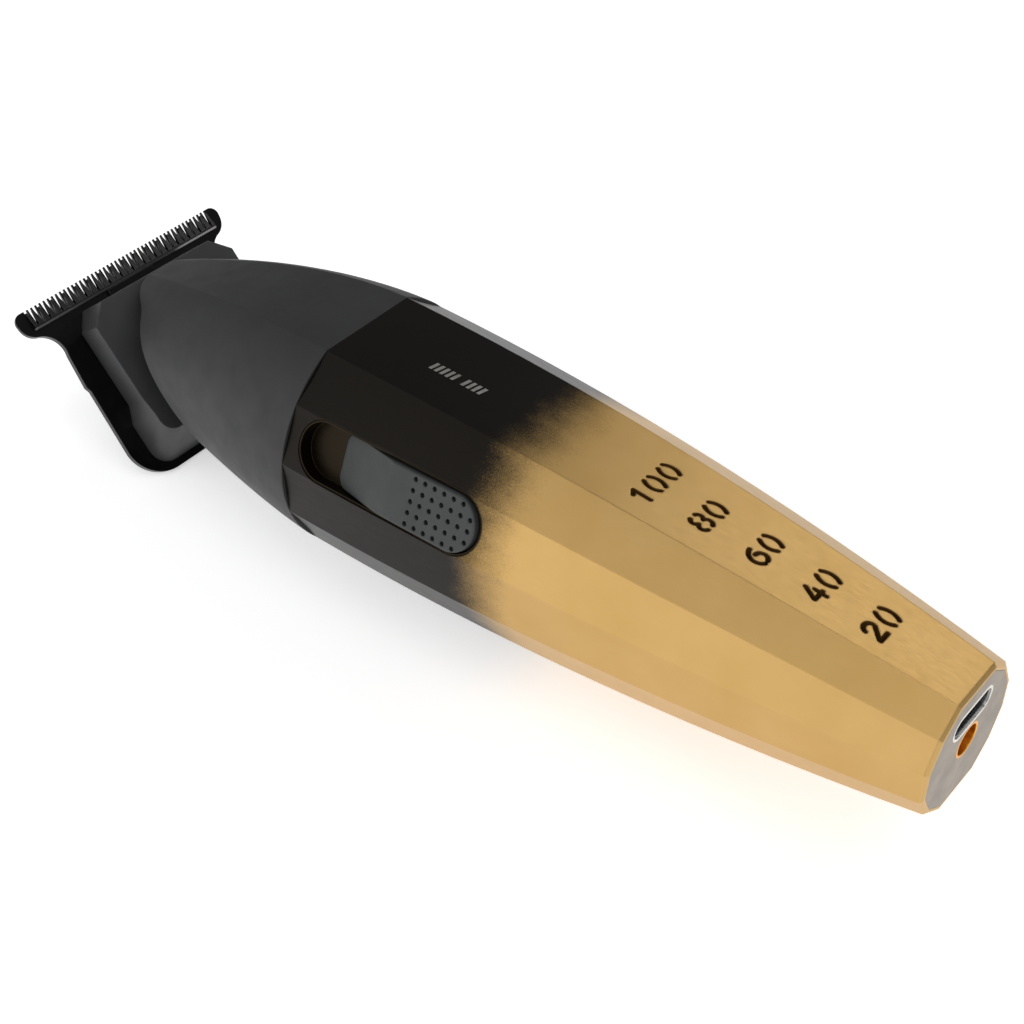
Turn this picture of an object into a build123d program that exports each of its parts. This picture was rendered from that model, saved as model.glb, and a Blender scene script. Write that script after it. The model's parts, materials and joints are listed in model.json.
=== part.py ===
from build123d import *
import math
import os

# Cordless T-blade beard trimmer, in millimetres.
# X runs from the tail to the blade, Y to the side with the power switch, and Z out of
# the wide facet with the charge numerals. The origin is the centre of the tail face.

os.makedirs("parts", exist_ok=True)

# ---- driving dimensions --------------------------------------------------------------
SEAM_X = 99.3            # joint between the metal barrel and the head shroud
WALL = 1.6               # thickness of the barrel and of the shroud
FIT = 0.05               # gap between pieces that are pushed together
OVERSHOOT = 2.0          # how far outside the skin a cut through it starts
TAIL_HALF_WIDTH = 10.2
TAIL_HALF_HEIGHT = 9.8
BELLY_HALF_WIDTH = 19.5
BELLY_HALF_HEIGHT = 18.2
WIDTH_BELLY_X = 109.0    # where the side outline is widest
HEIGHT_BELLY_X = 99.0    # where the top outline is highest

# corners of the twelve-sided section, as fractions of its half width and half height
TOP_CORNER_Y = 0.426
BEVEL_CORNER_Y = 0.785
BEVEL_CORNER_Z = 0.70
SIDE_CORNER_Z = 0.25

# head shroud: how far its outline drops over SHROUD_SPAN forward of the seam
SHROUD_SPAN = 45.0
SHROUD_SIDE_DROP = 8.2
SHROUD_TOP_DROP = 8.9
SHROUD_RIDGE_DROP = 5.2
SHROUD_END_X = 152.0

# blade plane: its origin is on the line through the tooth tips, its local x points back
# along the blade and its local z into the head
BLADE_TILT = math.radians(50)
TIP_X = 159.9
TIP_Z = 4.8
RIM_HEIGHT = 15.2        # the shroud's rim above the blade plane, along its sides
NOSE_HEIGHT = 11.4       # the same at the nose, where the rim dips
PLATE_THICKNESS = 1.1
PLATE_LENGTH = 34.5
TOOTH_PITCH = 0.83
TOOTH_GAPS = 47
CUTTER_PITCH = 1.245
CUTTER_GAPS = 31
CUTTER_STROKE = 1.2      # each way from the middle
CUTTER_GAP = 0.03        # oil gap between the cutter and the fixed blade
CUTTER_THICKNESS = 0.9
TONGUE_THICKNESS = 0.5   # of the cutter behind its heel
TIP_THICKNESS = 0.3      # of both blades at the tooth tips
SEAT_HEIGHT = 9.5        # blade seat of the head frame

# power switch on the upper side facet
SWITCH_TAIL_X = 64.2
SWITCH_HEAD_X = 97.2
SWITCH_WIDTH = 9.4
SWITCH_DEPTH = 2.6
SWITCH_TRAVEL = 3.5      # from off to on
SWITCH_CUT_DEPTH = 6.0   # of the opening in the barrel, below the facet
LINER = 0.35
SLIDER_LENGTH = 25.4
SLIDER_WIDTH = 8.3
PAD_LENGTH = 15.0
PAD_RISE = 0.5           # the pad's height above the facet
STEM_X = -4.0            # stem's place along the switch, from its middle

# charging socket and locating hole in the tail
SOCKET_Z = 4.8
SOCKET_WIDTH = 8.94
SOCKET_HEIGHT = 3.16
SOCKET_WALL = 0.31
TAIL_HOLE_R = 2.25
CAP_THICKNESS = 1.5
CAP_INSET = 0.8
TAIL_CHAMFER = 0.45

# charge numerals through the top facet
NUMERALS = {"100": 47.4, "80": 38.9, "60": 30.4, "40": 21.9, "20": 13.4}
NUMERAL_Y = 0.4
DIGIT_PITCH = 3.05
STROKE = 0.68

# cell, motor and drive
CELL_R = 9.0
CELL_START_X = 17.0
CELL_LENGTH = 49.5
CELL_Z = -1.2
MOTOR_R = 10.0
MOTOR_START_X = 93.0
MOTOR_LENGTH = 23.0
BRACKET_X = 116.1
BRACKET_THICKNESS = 1.8
ECCENTRICITY = 1.2
PIN_R = 0.8
PIN_START_X = 122.5
PIN_LENGTH = 4.2


# ---- outlines ------------------------------------------------------------------------
def half_width(x):
    return BELLY_HALF_WIDTH - (BELLY_HALF_WIDTH - TAIL_HALF_WIDTH) * (1 - x / WIDTH_BELLY_X) ** 2


def half_height(x):
    return BELLY_HALF_HEIGHT - (BELLY_HALF_HEIGHT - TAIL_HALF_HEIGHT) * (1 - x / HEIGHT_BELLY_X) ** 2


def barrel_section(x, inset):
    """The twelve corners of the barrel's section at x."""
    w = half_width(x) - inset
    h = half_height(x) - inset
    quarter = [
        (TOP_CORNER_Y * w, h),
        (BEVEL_CORNER_Y * w, BEVEL_CORNER_Z * h),
        (w, SIDE_CORNER_Z * h),
    ]
    right = quarter + [(y, -z) for y, z in reversed(quarter)]
    left = [(-y, z) for y, z in reversed(right)]
    return right + left


def stations(start, end, count=7):
    return [start + (end - start) * i / (count - 1) for i in range(count)]


def barrel_solid(inset, start=0.0, end=SEAM_X):
    """Everything inside the barrel's faceted skin between two places along X."""
    with BuildPart() as solid:
        for x in stations(start, end):
            with BuildSketch(Plane.YZ.offset(x)):
                Polygon(*barrel_section(x, inset), align=None)
        loft()
    return solid.part


def shroud_solid(inset, start=SEAM_X, end=SHROUD_END_X):
    """Everything inside the shroud's skin: flat top and bottom strips, rounded sides."""
    seam_width = half_width(SEAM_X) - inset
    with BuildPart() as solid:
        for x in stations(start, end):
            t = (x - SEAM_X) / SHROUD_SPAN
            width = seam_width - SHROUD_SIDE_DROP * t**1.35
            top = BELLY_HALF_HEIGHT - inset - SHROUD_TOP_DROP * t**1.75
            bottom = BELLY_HALF_HEIGHT - inset
            ridge = TOP_CORNER_Y * seam_width - SHROUD_RIDGE_DROP * t**1.6
            bevel = ridge + (width - ridge) * 0.625
            side = [
                (ridge, top),
                (bevel, BEVEL_CORNER_Z * top),
                (width, SIDE_CORNER_Z * top),
                (width, -SIDE_CORNER_Z * bottom),
                (bevel, -BEVEL_CORNER_Z * bottom),
                (ridge, -bottom),
            ]
            other_side = [(-y, z) for y, z in side]
            with BuildSketch(Plane.YZ.offset(x)):
                with BuildLine():
                    Line(other_side[0], side[0])
                    Spline(*side)
                    Line(side[-1], other_side[-1])
                    Spline(*reversed(other_side))
                make_face()
        loft()
    return solid.part


def finish(builder, name):
    builder.part.label = name
    export_step(builder.part, f"parts/{name}.step")


# ---- working planes ------------------------------------------------------------------
blade_plane = Plane(
    origin=(TIP_X, 0, TIP_Z),
    x_dir=(-math.cos(BLADE_TILT), 0, -math.sin(BLADE_TILT)),
    z_dir=(-math.sin(BLADE_TILT), 0, math.cos(BLADE_TILT)),
)


def over_blade(back, up):
    """X and Z of a point that far back from the tooth tips and that far above the plate."""
    point = blade_plane.from_local_coords((back, 0, up))
    return (point.X, point.Z)


def switch_facet_centre(x):
    return Vector(
        x,
        (BEVEL_CORNER_Y + 1) / 2 * half_width(x),
        (BEVEL_CORNER_Z + SIDE_CORNER_Z) / 2 * half_height(x),
    )


switch_start = switch_facet_centre(SWITCH_TAIL_X)
switch_end = switch_facet_centre(SWITCH_HEAD_X)
switch_middle = (SWITCH_TAIL_X + SWITCH_HEAD_X) / 2
switch_length = (switch_end - switch_start).length
facet_rise = Vector(
    0,
    (BEVEL_CORNER_Y - 1) * half_width(switch_middle),
    (BEVEL_CORNER_Z - SIDE_CORNER_Z) * half_height(switch_middle),
)
# local x points to the head, local y down the facet and local z out of it
switch_plane = Plane(
    origin=switch_facet_centre(switch_middle),
    x_dir=switch_end - switch_start,
    z_dir=facet_rise.cross(switch_end - switch_start),
)
print("switch plane: middle", switch_plane.origin, "slide axis", switch_plane.x_dir)

# lengthwise line of the numeral light guide, just inside the top facet
GUIDE_START_X = 9.0
GUIDE_END_X = 52.0
guide_start = Vector(GUIDE_START_X, 0, half_height(GUIDE_START_X) - WALL)
guide_end = Vector(GUIDE_END_X, 0, half_height(GUIDE_END_X) - WALL)
guide_plane = Plane(
    origin=(guide_start + guide_end) / 2,
    x_dir=guide_end - guide_start,
    z_dir=(guide_end - guide_start).cross(Vector(0, 1, 0)),
)
guide_length = (guide_end - guide_start).length

# volumes that several pieces are cut to
barrel_inside = barrel_solid(WALL)
barrel_core = barrel_solid(WALL + FIT)
shroud_inside = shroud_solid(WALL)


# ---- charge numerals -----------------------------------------------------------------
def arc_stroke(start, middle, end):
    SlotArc(arc=ThreePointArc(start, middle, end), height=STROKE)


def bar_stroke(start, end):
    run = Vector(*end) - Vector(*start)
    centre = (Vector(*start) + Vector(*end)) / 2
    angle = math.degrees(math.atan2(run.Y, run.X))
    with Locations((centre.X, centre.Y)):
        SlotCenterToCenter(run.length, STROKE, rotation=angle)


def zero_strokes():
    for side in (-1, 1):
        arc_stroke((side * 0.5, 1.4), (side * 0.95, 0), (side * 0.5, -1.4))


def one_strokes():
    bar_stroke((0.3, 1.4), (0.3, -1.4))
    bar_stroke((-0.45, 0.85), (0.2, 1.3))


def two_strokes():
    arc_stroke((-0.85, 0.75), (0, 1.4), (0.8, 0.6))
    bar_stroke((0.72, 0.35), (-0.75, -1.2))
    bar_stroke((-0.8, -1.4), (0.85, -1.4))


def four_strokes():
    bar_stroke((0.1, 1.4), (-0.9, -0.5))
    bar_stroke((-0.9, -0.6), (0.9, -0.6))
    bar_stroke((0.5, 0.3), (0.5, -1.4))


def six_strokes():
    arc_stroke((0.4, 1.4), (-0.95, 0), (-0.3, -1.4))
    arc_stroke((0.05, 0.35), (0.95, -0.5), (0.3, -1.4))


def eight_strokes():
    for side in (-1, 1):
        arc_stroke((side * 0.5, 1.4), (side * 0.9, 0.76), (side * 0.5, 0.1))
        arc_stroke((side * 0.5, 0.1), (side * 1.0, -0.65), (side * 0.5, -1.4))


def stencil(strokes):
    with BuildSketch() as digit:
        strokes()
    return digit.sketch


DIGITS = {
    "0": stencil(zero_strokes),
    "1": stencil(one_strokes),
    "2": stencil(two_strokes),
    "4": stencil(four_strokes),
    "6": stencil(six_strokes),
    "8": stencil(eight_strokes),
}


# ---- barrel --------------------------------------------------------------------------
outer_barrel = barrel_solid(0)
with BuildPart() as barrel_housing:
    add(outer_barrel)
    chamfer(barrel_housing.faces().sort_by(Axis.X)[0].edges(), TAIL_CHAMFER)
    add(barrel_inside, mode=Mode.SUBTRACT)
    with BuildSketch(Plane.YZ):
        Polygon(*barrel_section(0, CAP_INSET), align=None)
    extrude(amount=CAP_THICKNESS, mode=Mode.SUBTRACT)
    with BuildSketch(switch_plane.offset(OVERSHOOT)):
        SlotOverall(switch_length, SWITCH_WIDTH)
    extrude(amount=-OVERSHOOT - SWITCH_CUT_DEPTH, mode=Mode.SUBTRACT)
    for text, x in NUMERALS.items():
        first = NUMERAL_Y + (len(text) - 1) / 2 * DIGIT_PITCH
        for place, digit in enumerate(text):
            digit_plane = Plane(
                origin=(x, first - place * DIGIT_PITCH, half_height(x) + OVERSHOOT),
                x_dir=(0, -1, 0),
                z_dir=(0, 0, 1),
            )
            with BuildSketch(digit_plane):
                add(DIGITS[digit])
            extrude(amount=-OVERSHOOT - 2 * WALL, mode=Mode.SUBTRACT)
finish(barrel_housing, "barrel_housing")


# ---- tail ----------------------------------------------------------------------------
CUP_WALL = 0.35
CUP_LENGTH = 3.8
CUP_FLOOR = 0.8
CAP_LIP = 1.0            # lip behind the cap that centres it in the barrel
CAP_LIP_GAP = 0.2
CAP_LIP_LENGTH = 2.0
BEZEL_WIDTH = 9.6
BEZEL_HEIGHT = 4.2
socket_plane = Plane(origin=(0, 0, SOCKET_Z), x_dir=(0, 1, 0), z_dir=(1, 0, 0))

with BuildPart() as end_cap:
    with BuildSketch(Plane.YZ):
        Polygon(*barrel_section(0, CAP_INSET + FIT), align=None)
    extrude(amount=CAP_THICKNESS)
    with BuildSketch(Plane.YZ.offset(CAP_THICKNESS)):
        Polygon(*barrel_section(0, WALL + CAP_LIP_GAP), align=None)
        lip_inner = barrel_section(0, WALL + CAP_LIP_GAP + CAP_LIP)
        Polygon(*lip_inner, align=None, mode=Mode.SUBTRACT)
    extrude(amount=CAP_LIP_LENGTH)
    with BuildSketch(socket_plane):
        SlotOverall(BEZEL_WIDTH, BEZEL_HEIGHT)
    extrude(amount=CAP_THICKNESS, mode=Mode.SUBTRACT)
    with BuildSketch(Plane.YZ):
        Circle(TAIL_HOLE_R + CUP_WALL)
    extrude(amount=CAP_THICKNESS, mode=Mode.SUBTRACT)
finish(end_cap, "end_cap")

with BuildPart() as tail_cup:
    with BuildSketch(Plane.YZ):
        Circle(TAIL_HOLE_R + CUP_WALL)
    extrude(amount=CUP_LENGTH)
    with BuildSketch(Plane.YZ):
        Circle(TAIL_HOLE_R)
    extrude(amount=CUP_LENGTH - CUP_FLOOR, mode=Mode.SUBTRACT)
finish(tail_cup, "tail_cup")

with BuildPart() as socket_bezel:
    with BuildSketch(socket_plane):
        SlotOverall(BEZEL_WIDTH, BEZEL_HEIGHT)
        SlotOverall(SOCKET_WIDTH, SOCKET_HEIGHT, mode=Mode.SUBTRACT)
    extrude(amount=CAP_THICKNESS)
finish(socket_bezel, "socket_bezel")

SOCKET_START = 0.2
SOCKET_LENGTH = 7.3
SOCKET_BACK = 1.4        # thickness of the wall that closes the shell behind the tongue
SOCKET_TONGUE_WIDTH = 6.65
SOCKET_TONGUE_HEIGHT = 0.7
SOCKET_TONGUE_SETBACK = 0.7
with BuildPart() as socket_shell:
    with BuildSketch(socket_plane.offset(SOCKET_START)):
        SlotOverall(SOCKET_WIDTH, SOCKET_HEIGHT)
        SlotOverall(
            SOCKET_WIDTH - 2 * SOCKET_WALL, SOCKET_HEIGHT - 2 * SOCKET_WALL, mode=Mode.SUBTRACT
        )
    extrude(amount=SOCKET_LENGTH)
finish(socket_shell, "socket_shell")

with BuildPart() as socket_tongue:
    with BuildSketch(socket_plane.offset(SOCKET_START + SOCKET_TONGUE_SETBACK)):
        Rectangle(SOCKET_TONGUE_WIDTH, SOCKET_TONGUE_HEIGHT)
    extrude(amount=SOCKET_LENGTH - SOCKET_TONGUE_SETBACK)
    with BuildSketch(socket_plane.offset(SOCKET_START + SOCKET_LENGTH - SOCKET_BACK)):
        SlotOverall(SOCKET_WIDTH - 2 * SOCKET_WALL, SOCKET_HEIGHT - 2 * SOCKET_WALL)
    extrude(amount=SOCKET_BACK)
finish(socket_tongue, "socket_tongue")

CHARGE_BOARD_TOP = SOCKET_Z - SOCKET_HEIGHT / 2
CHARGE_BOARD_X = 9.9
CHARGE_CHIP_X = 11.5
BOARD_THICKNESS = 1.0
CHARGE_CHIP_HEIGHT = 1.0
with BuildPart() as charge_board:
    with BuildSketch(Plane.XY.offset(CHARGE_BOARD_TOP - BOARD_THICKNESS)):
        with Locations((CHARGE_BOARD_X, 0)):
            Rectangle(11.4, 12.0)
    extrude(amount=BOARD_THICKNESS)
finish(charge_board, "charge_board")

with BuildPart() as charge_chip:
    with BuildSketch(Plane.XY.offset(CHARGE_BOARD_TOP)):
        with Locations((CHARGE_CHIP_X, 0)):
            Rectangle(4.0, 5.0)
    extrude(amount=CHARGE_CHIP_HEIGHT)
finish(charge_chip, "charge_chip")


# ---- charge display under the top facet -----------------------------------------------
GUIDE_HALF_WIDTH = 5.2
GUIDE_DEPTH = 0.9
LED_HEIGHT = 0.5
DISPLAY_BOARD_WIDTH = 9.0
DISPLAY_BOARD_THICKNESS = 0.8
with BuildPart() as light_guide:
    add(barrel_core)
    with BuildSketch(guide_plane.offset(-GUIDE_DEPTH)):
        Rectangle(guide_length, 2 * GUIDE_HALF_WIDTH)
    extrude(amount=GUIDE_DEPTH + WALL + OVERSHOOT, mode=Mode.INTERSECT)
finish(light_guide, "light_guide")

with BuildPart() as display_board:
    with BuildSketch(guide_plane.offset(-GUIDE_DEPTH - LED_HEIGHT)):
        Rectangle(guide_length, DISPLAY_BOARD_WIDTH)
    extrude(amount=-DISPLAY_BOARD_THICKNESS)
finish(display_board, "display_board")

with BuildPart() as display_leds:
    with BuildSketch(guide_plane.offset(-GUIDE_DEPTH - LED_HEIGHT)):
        for x in NUMERALS.values():
            with Locations((x - (GUIDE_START_X + GUIDE_END_X) / 2, 0)):
                Rectangle(1.6, 3.0)
    extrude(amount=LED_HEIGHT)
finish(display_leds, "display_leds")


# ---- cell ----------------------------------------------------------------------------
CELL_EDGE_R = 0.8
TAB_THICKNESS = 0.2
TAB_WIDTH = 5.0
TAB_FOOT = 2.2           # of the rear tab, soldered to the charge board
cell_plane = Plane(origin=(CELL_START_X, 0, CELL_Z), x_dir=(0, 1, 0), z_dir=(1, 0, 0))
with BuildPart() as battery_cell:
    with BuildSketch(cell_plane):
        Circle(CELL_R)
    extrude(amount=CELL_LENGTH)
    fillet(battery_cell.edges().filter_by(GeomType.CIRCLE), CELL_EDGE_R)
finish(battery_cell, "battery_cell")

with BuildPart() as rear_tab:
    with BuildSketch(cell_plane.offset(-TAB_THICKNESS)):
        with Locations((0, 0.9)):
            Rectangle(TAB_WIDTH, 8.5)
    extrude(amount=TAB_THICKNESS)
    with BuildSketch(Plane.XY.offset(CHARGE_BOARD_TOP)):
        with Locations((CELL_START_X - TAB_THICKNESS - TAB_FOOT / 2, 0)):
            Rectangle(TAB_FOOT, TAB_WIDTH)
    extrude(amount=TAB_THICKNESS)
finish(rear_tab, "battery_tab_rear")

with BuildPart() as front_tab:
    with BuildSketch(cell_plane.offset(CELL_LENGTH)):
        with Locations((0, 3.2)):
            Rectangle(TAB_WIDTH, 13.5)
    extrude(amount=TAB_THICKNESS)
finish(front_tab, "battery_tab_front")


# ---- main board ----------------------------------------------------------------------
BOARD_Z = 9.6
BOARD_X = 72.5
BOARD_CHIP_HEIGHT = 1.2
with BuildPart() as main_board:
    with BuildSketch(Plane.XY.offset(BOARD_Z)):
        with Locations((BOARD_X, 0)):
            Rectangle(37, 18)
    extrude(amount=BOARD_THICKNESS)
finish(main_board, "main_board")

with BuildPart() as board_chips:
    with BuildSketch(Plane.XY.offset(BOARD_Z + BOARD_THICKNESS)):
        with Locations((62, 2)):
            Rectangle(5, 5)
        with Locations((71, -3)):
            Rectangle(6, 4)
        with Locations((80, 3), (80, -3)):
            Rectangle(3, 2)
    extrude(amount=BOARD_CHIP_HEIGHT)
finish(board_chips, "board_chips")


# ---- power switch --------------------------------------------------------------------
inner_length = switch_length - 2 * LINER
FLOOR_THICKNESS = 1.0
LINER_SETBACK = 0.3      # the well's rim below the facet
STEM_LENGTH = 3.0
STEM_WIDTH = 2.0
STEM_CLEARANCE = 0.3     # all round the stem in its slot
STEM_DROP = 3.1          # from the slider's underside to the wiper
SLOT_LENGTH = SWITCH_TRAVEL + STEM_LENGTH + 2 * STEM_CLEARANCE
SLOT_WIDTH = STEM_WIDTH + 2 * STEM_CLEARANCE
slot_centre = STEM_X + SWITCH_TRAVEL / 2

with BuildPart() as switch_well:
    with BuildSketch(switch_plane.offset(-SWITCH_DEPTH - FLOOR_THICKNESS)):
        SlotOverall(switch_length - 2 * FIT, SWITCH_WIDTH - 2 * FIT)
    extrude(amount=SWITCH_DEPTH + FLOOR_THICKNESS - LINER_SETBACK)
    with BuildSketch(switch_plane.offset(-SWITCH_DEPTH)):
        SlotOverall(inner_length, SWITCH_WIDTH - 2 * LINER)
    extrude(amount=SWITCH_DEPTH, mode=Mode.SUBTRACT)
    with BuildSketch(switch_plane.offset(-SWITCH_DEPTH)):
        with Locations((slot_centre, 0)):
            Rectangle(SLOT_LENGTH, SLOT_WIDTH)
    extrude(amount=-FLOOR_THICKNESS, mode=Mode.SUBTRACT)
finish(switch_well, "switch_well")

SLIDER_END_GAP = 0.3
SLIDER_FLOOR_GAP = 0.15
slider_tail = -inner_length / 2 + SLIDER_END_GAP
slider_bottom = -SWITCH_DEPTH + SLIDER_FLOOR_GAP
slider_side = Plane(
    origin=switch_plane.origin, x_dir=switch_plane.x_dir, z_dir=-switch_plane.y_dir
)
DIMPLE_PITCH = 1.66
DIMPLE_R = 0.36
DIMPLE_DEPTH = 0.7
FIRST_DIMPLE = 1.1       # from the slider's tail end
NOSE_CORNER_R = 1.8
PAD_EDGE_R = 0.3
NOSE_EDGE = 0.2          # thickness that is left at the slider's nose
with BuildPart() as switch_slider:
    with BuildSketch(switch_plane.offset(slider_bottom)):
        with Locations((slider_tail + SLIDER_LENGTH / 2, 0)):
            SlotOverall(SLIDER_LENGTH, SLIDER_WIDTH)
        with Locations((slider_tail + SLIDER_LENGTH * 3 / 4, 0)):
            RectangleRounded(SLIDER_LENGTH / 2, SLIDER_WIDTH, NOSE_CORNER_R)
    extrude(amount=PAD_RISE - slider_bottom)
    with BuildSketch(slider_side):
        with BuildLine():
            pad_edge = (slider_tail + PAD_LENGTH, PAD_RISE)
            nose = (slider_tail + SLIDER_LENGTH + 0.5, slider_bottom + NOSE_EDGE)
            Spline(pad_edge, nose, tangents=((1, -0.2), (1, -0.27)))
            Polyline(nose, (nose[0], PAD_RISE + 1), (pad_edge[0], PAD_RISE + 1), pad_edge)
        make_face()
    extrude(amount=SLIDER_WIDTH, both=True, mode=Mode.SUBTRACT)
    fillet(
        switch_slider.edges()
        .filter_by(GeomType.CIRCLE)
        .group_by(SortBy.RADIUS)[-1]
        .sort_by(Axis(switch_plane.origin, switch_plane.z_dir))[-1],
        PAD_EDGE_R,
    )
    with BuildSketch(switch_plane.offset(PAD_RISE)):
        for column in range(7):
            rows = (-1, 0, 1) if column == 0 else (-2, -1, 0, 1, 2)
            for row in rows:
                dimple_x = slider_tail + FIRST_DIMPLE + column * DIMPLE_PITCH
                with Locations((dimple_x, row * DIMPLE_PITCH)):
                    Circle(DIMPLE_R)
    extrude(amount=-DIMPLE_DEPTH, mode=Mode.SUBTRACT)
    with BuildSketch(switch_plane.offset(slider_bottom)):
        with Locations((STEM_X, 0)):
            Rectangle(STEM_LENGTH, STEM_WIDTH)
    extrude(amount=-STEM_DROP)
finish(switch_slider, "switch_slider")

WIPER_INSET = 0.2
WIPER_THICKNESS = 0.4
with BuildPart() as switch_wiper:
    with BuildSketch(switch_plane.offset(slider_bottom - STEM_DROP)):
        with Locations((STEM_X, 0)):
            Rectangle(STEM_LENGTH - 2 * WIPER_INSET, STEM_WIDTH - 2 * WIPER_INSET)
    extrude(amount=-WIPER_THICKNESS)
finish(switch_wiper, "switch_wiper")

BODY_TOP = -SWITCH_DEPTH - FLOOR_THICKNESS - 0.9
BODY_HEIGHT = 3.8
BODY_ROOM = 2.4          # depth of the slot that the wiper slides in
PIN_DROP = 1.6
with BuildPart() as switch_body:
    with BuildSketch(switch_plane.offset(BODY_TOP)):
        with Locations((slot_centre, 0)):
            Rectangle(13.5, 5.4)
    extrude(amount=-BODY_HEIGHT)
    with BuildSketch(switch_plane.offset(BODY_TOP)):
        with Locations((slot_centre, 0)):
            Rectangle(SLOT_LENGTH, SLOT_WIDTH)
    extrude(amount=-BODY_ROOM, mode=Mode.SUBTRACT)
finish(switch_body, "switch_body")

with BuildPart() as switch_pins:
    with BuildSketch(switch_plane.offset(BODY_TOP - BODY_HEIGHT)):
        with Locations((slot_centre, 0)):
            with GridLocations(4.0, 0, 3, 1):
                Rectangle(0.8, 0.6)
    extrude(amount=-PIN_DROP)
finish(switch_pins, "switch_pins")


# ---- chassis and seam ring -----------------------------------------------------------
CHASSIS_START = 30.0
CHASSIS_TOP = -3.0
CHASSIS_WALL = 1.35
RIB_THICKNESS = 1.8
RIB_PLACES = (CHASSIS_START, 47.0, 64.5, 94.0)
with BuildPart() as chassis:
    add(barrel_solid(WALL + FIT, CHASSIS_START, SEAM_X - 1))
    add(barrel_solid(WALL + FIT + CHASSIS_WALL, CHASSIS_START - 1, SEAM_X), mode=Mode.SUBTRACT)
    for x in RIB_PLACES:
        add(barrel_solid(WALL + FIT, x, x + RIB_THICKNESS))
    with BuildSketch(Plane.XY.offset(CHASSIS_TOP)):
        with Locations((60, 0)):
            Rectangle(100, 50)
    extrude(amount=30, mode=Mode.SUBTRACT)
    with BuildSketch(cell_plane):
        Circle(CELL_R + FIT)
    extrude(amount=CELL_LENGTH + 1, mode=Mode.SUBTRACT)
    with BuildSketch(Plane.YZ.offset(90)):
        Circle(MOTOR_R + FIT)
    extrude(amount=20, mode=Mode.SUBTRACT)
finish(chassis, "chassis")

RING_START = 93.0
RING_END = 104.0
RING_INSET = 0.6         # of the part that the shroud slides over
RING_THICKNESS = 1.1
with BuildPart() as seam_ring:
    add(barrel_solid(WALL + FIT, RING_START, SEAM_X))
    add(barrel_solid(WALL + RING_INSET, SEAM_X - 1, RING_END))
    ring_bore = barrel_solid(WALL + RING_INSET + RING_THICKNESS, RING_START - 1, RING_END + 1)
    add(ring_bore, mode=Mode.SUBTRACT)
    with BuildSketch(Plane.YZ.offset(RING_START)):
        with Locations((15, 7)):
            Rectangle(16, 18)
    extrude(amount=SWITCH_HEAD_X + 0.6 - RING_START, mode=Mode.SUBTRACT)
    with BuildSketch(Plane.YZ.offset(RING_START)):
        with Locations((0, CHASSIS_TOP - 20 + 0.1)):
            Rectangle(60, 40)
    extrude(amount=SEAM_X - 0.9 - RING_START, mode=Mode.SUBTRACT)
finish(seam_ring, "seam_ring")


# ---- head shroud ---------------------------------------------------------------------
outer_shroud = shroud_solid(0)
with BuildPart() as head_shroud:
    add(outer_shroud)
    add(shroud_inside, mode=Mode.SUBTRACT)
    with BuildSketch(Plane.XZ):
        with BuildLine():
            nose = Line(over_blade(-30, NOSE_HEIGHT - 0.4), over_blade(5.2, NOSE_HEIGHT))
            dip = Spline(
                nose @ 1,
                over_blade(10.5, RIM_HEIGHT - 0.4),
                tangents=(nose % 1, Vector(*over_blade(10, 0.3)) - Vector(*over_blade(0, 0))),
            )
            side = Line(dip @ 1, over_blade(60, RIM_HEIGHT))
            Polyline(side @ 1, over_blade(60, -60), over_blade(-30, -60), nose @ 0)
        make_face()
    extrude(amount=40, both=True, mode=Mode.SUBTRACT)
finish(head_shroud, "head_shroud")


# ---- motor ---------------------------------------------------------------------------
SCREW_SPACING = 13.0
SHAFT_R = 1.0
SHAFT_BORE_R = 1.05
SCREW_R = 0.8            # of the motor screws' threads and their holes
SCREW_HEAD_R = 1.6
SCREW_HEAD_HEIGHT = 1.2
CAN_WALL = 1.2
BOSS_R = 3.0
BOSS_LENGTH = 1.6
BELL_LENGTH = 2.2
ROTOR_R = 7.6
ROTOR_LENGTH = 14.0
ECCENTRIC_X = 119.6
ECCENTRIC_R = 3.2
ECCENTRIC_WEB = 0.4      # disc that carries the crank pin
with BuildPart() as motor_can:
    with BuildSketch(Plane.YZ.offset(MOTOR_START_X)):
        Circle(MOTOR_R)
    extrude(amount=MOTOR_LENGTH)
    fillet(motor_can.edges().filter_by(GeomType.CIRCLE).sort_by(Axis.X)[-1], 1.0)
    with BuildSketch(Plane.YZ.offset(MOTOR_START_X + MOTOR_LENGTH)):
        Circle(BOSS_R)
    extrude(amount=BOSS_LENGTH)
    with BuildSketch(Plane.YZ.offset(MOTOR_START_X)):
        Circle(MOTOR_R - CAN_WALL)
    extrude(amount=MOTOR_LENGTH - CAN_WALL, mode=Mode.SUBTRACT)
    with BuildSketch(Plane.YZ.offset(MOTOR_START_X)):
        Circle(SHAFT_BORE_R)
    extrude(amount=MOTOR_LENGTH + BOSS_LENGTH + 1, mode=Mode.SUBTRACT)
    with BuildSketch(Plane.YZ.offset(MOTOR_START_X)):
        with GridLocations(SCREW_SPACING, 0, 2, 1):
            Circle(SCREW_R)
    extrude(amount=MOTOR_LENGTH + 1, mode=Mode.SUBTRACT)
finish(motor_can, "motor_can")

with BuildPart() as motor_end_bell:
    with BuildSketch(Plane.YZ.offset(MOTOR_START_X)):
        Circle(9.4)
        Circle(SHAFT_BORE_R, mode=Mode.SUBTRACT)
    extrude(amount=-BELL_LENGTH)
finish(motor_end_bell, "motor_end_bell")

with BuildPart() as motor_terminals:
    with BuildSketch(Plane.YZ.offset(MOTOR_START_X - BELL_LENGTH)):
        with GridLocations(11, 0, 2, 1):
            Rectangle(0.5, 1.8)
    extrude(amount=-2.2)
finish(motor_terminals, "motor_terminals")

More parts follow.
